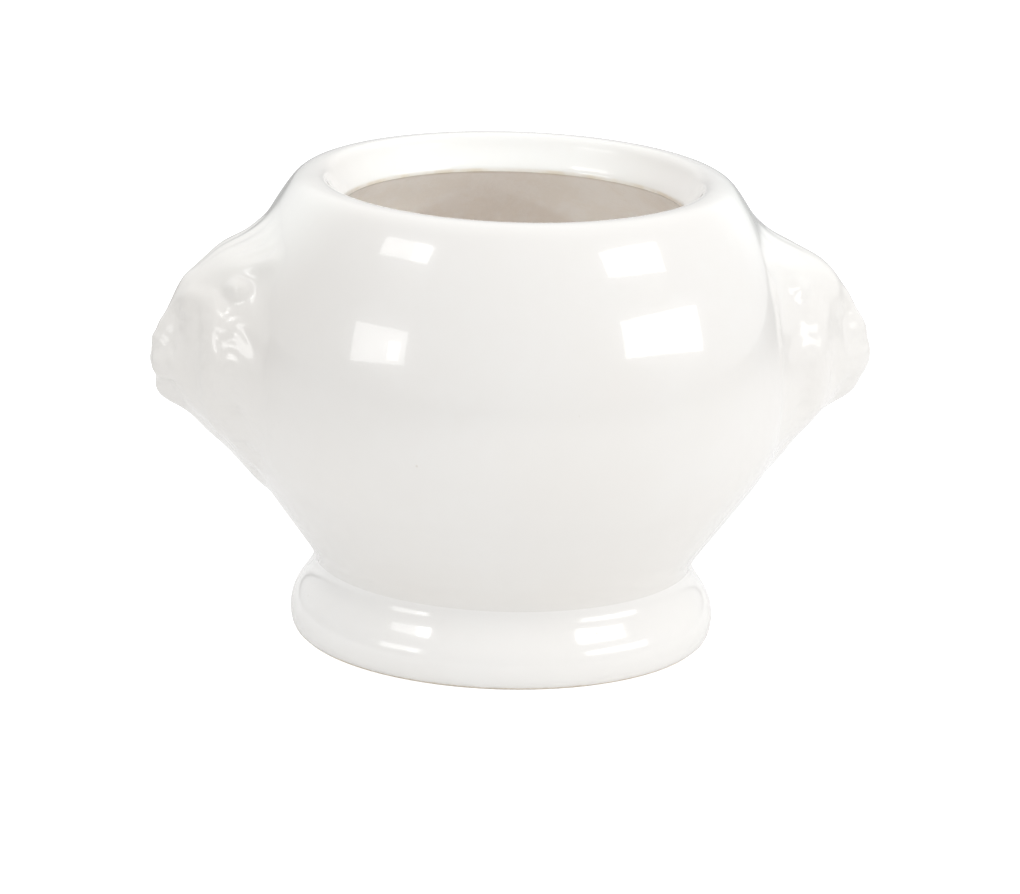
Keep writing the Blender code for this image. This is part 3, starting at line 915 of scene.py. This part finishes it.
def add_environment():
    """A soft white room, brightest overhead, that the camera itself sees as plain white."""
    world = bpy.data.worlds.new("studio")
    bpy.context.scene.world = world
    nodes = Nodes(world)
    tree = nodes.tree
    heading = tree.nodes.new("ShaderNodeTexCoord").outputs["Generated"]
    sloped = nodes.calculated("ADD", nodes.along(heading, ROOM_SLOPE), ROOM)
    behind = nodes.mapped(nodes.along(heading, BEHIND), 0.86, 0.98, 1.0, 1 - BEHIND_DIMMING)
    left = nodes.mapped(nodes.along(heading, LEFT), 0.6, 1.0, 1.0, 1 - LEFT_DIMMING)
    room = tree.nodes.new("ShaderNodeBackground")
    dimmed = nodes.calculated("MULTIPLY", behind, left)
    nodes.link(nodes.calculated("MULTIPLY", sloped, dimmed), room.inputs["Strength"])
    seen = tree.nodes.new("ShaderNodeBackground")
    mix = tree.nodes.new("ShaderNodeMixShader")
    nodes.link(tree.nodes.new("ShaderNodeLightPath").outputs["Is Camera Ray"], mix.inputs["Fac"])
    nodes.link(room.outputs["Background"], mix.inputs[1])
    nodes.link(seen.outputs["Background"], mix.inputs[2])
    nodes.link(mix.outputs["Shader"], tree.nodes["World Output"].inputs["Surface"])


def add_floor():
    """A pale floor, its colour painted darker further off, behind and to the left: painted shade round a
    painted pool of light by the bowl. Only to the camera does it glow white.
    """
    bpy.ops.mesh.primitive_plane_add(size=8)
    floor = bpy.context.object
    floor.name = "studio_floor"
    material = bpy.data.materials.new("pale_floor")
    nodes = Nodes(material)
    distance = nodes.tree.nodes.new("ShaderNodeVectorMath")
    distance.operation = "LENGTH"
    nodes.link(nodes.place, distance.inputs[0])
    # The floor's colour is painted light near the bowl and painted shade further off, behind and to the left.
    pale = nodes.mapped(distance.outputs["Value"], 0.08, 0.80, FLOOR_NEAR_PAINTED_LIGHT, FLOOR_FAR_PAINTED_SHADE)
    behind = nodes.mapped(nodes.along(nodes.place, (0, 1, 0)), 0.12, 0.40, 1.0, 1 - BEHIND_DIMMING)
    left = nodes.mapped(nodes.along(nodes.place, (-1, 0, 0)), 0.06, 0.25, 1.0, 1 - LEFT_DIMMING)
    dimmed = nodes.calculated("MULTIPLY", behind, left)
    nodes.link(nodes.calculated("MULTIPLY", pale, dimmed), nodes.shader.inputs["Base Color"])
    nodes.shader.inputs["Roughness"].default_value = 0.9
    nodes.shader.inputs["Specular IOR Level"].default_value = 0.2
    nodes.shader.inputs["Emission Color"].default_value = (1, 1, 1, 1)
    ray = nodes.tree.nodes.new("ShaderNodeLightPath")
    nodes.link(nodes.calculated("MULTIPLY", ray.outputs["Is Camera Ray"], FLOOR_GLOW),
               nodes.shader.inputs["Emission Strength"])
    floor.data.materials.append(material)


def set_up_studio():
    add_camera()
    add_environment()
    add_floor()
    for name, values in SOFT_BOXES.items():
        add_soft_box(name, *values)
    for name, values in BEAMS.items():
        add_beam(name, *values)
    scene = bpy.context.scene
    scene.view_settings.view_transform = "Standard"
    scene.cycles.diffuse_bounces = 12
    scene.cycles.max_bounces = 16


def main():
    body = turned("glazed_body", body_profile(), False)
    collar = turned("glazed_collar", collar_profile(), True)
    foot = turned("glazed_foot", foot_profile(), True)
    right = lion_head("glazed_lion_right", 1, FULLER, *RIGHT_WEAR)
    left = lion_head("glazed_lion_left", -1, (), *LEFT_WEAR)
    set_up_studio()
    lion_finish = head_glaze()
    pieces = (
        (body, "bowl_body", "body_glaze", wall_glaze("body_glaze", 0.10)),
        (collar, "mouth_collar", "collar_glaze", wall_glaze("collar_glaze", 0.06)),
        (foot, "pedestal_foot", "foot_glaze", foot_glaze()),
        (right, "lion_head_right", "head_glaze", lion_finish),
        (left, "lion_head_left", "head_glaze", lion_finish),
    )
    for obj, node, slot, finish in pieces:
        obj.data.materials.append(finish)
        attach(obj, "root")
        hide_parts(node)


main()
